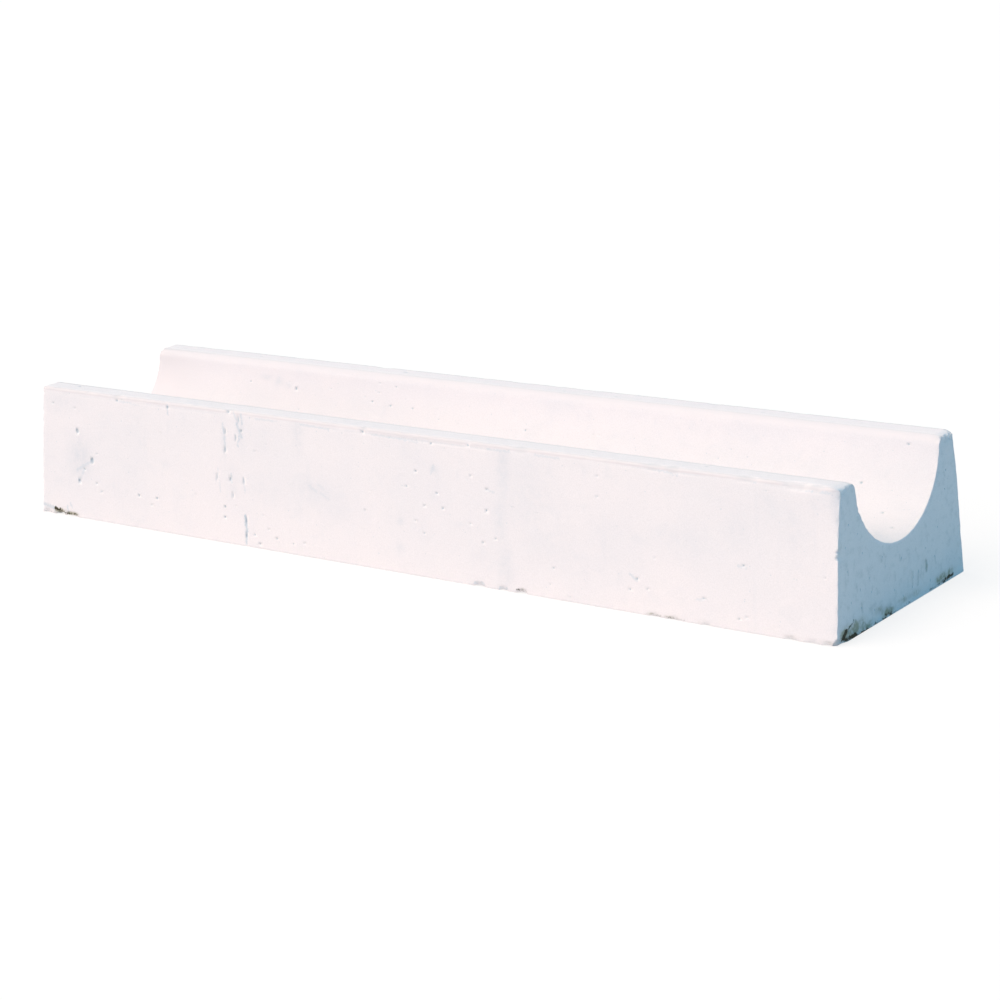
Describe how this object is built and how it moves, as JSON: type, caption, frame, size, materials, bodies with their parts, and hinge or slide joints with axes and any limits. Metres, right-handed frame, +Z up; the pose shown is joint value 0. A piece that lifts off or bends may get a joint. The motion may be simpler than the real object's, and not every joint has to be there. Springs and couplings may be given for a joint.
{
  "type": "drainage channel",
  "caption": "Straight half-round drainage channel unit, cast in one piece of concrete with battered sides and a flat base, laid end to end to carry surface water.",
  "frame": {"origin": "middle of the flat base, on the level that the unit is laid on", "axes": "+X along the channel towards the square end, +Y across it, +Z up out of the open channel"},
  "size_m": [1, 0.23, 0.14],
  "materials": {
    "concrete": "as cast, matt, with bug holes and streaks from the formwork"
  },
  "bodies": {
    "root": {"drainage_channel": "concrete"}
  },
  "joints": []
}
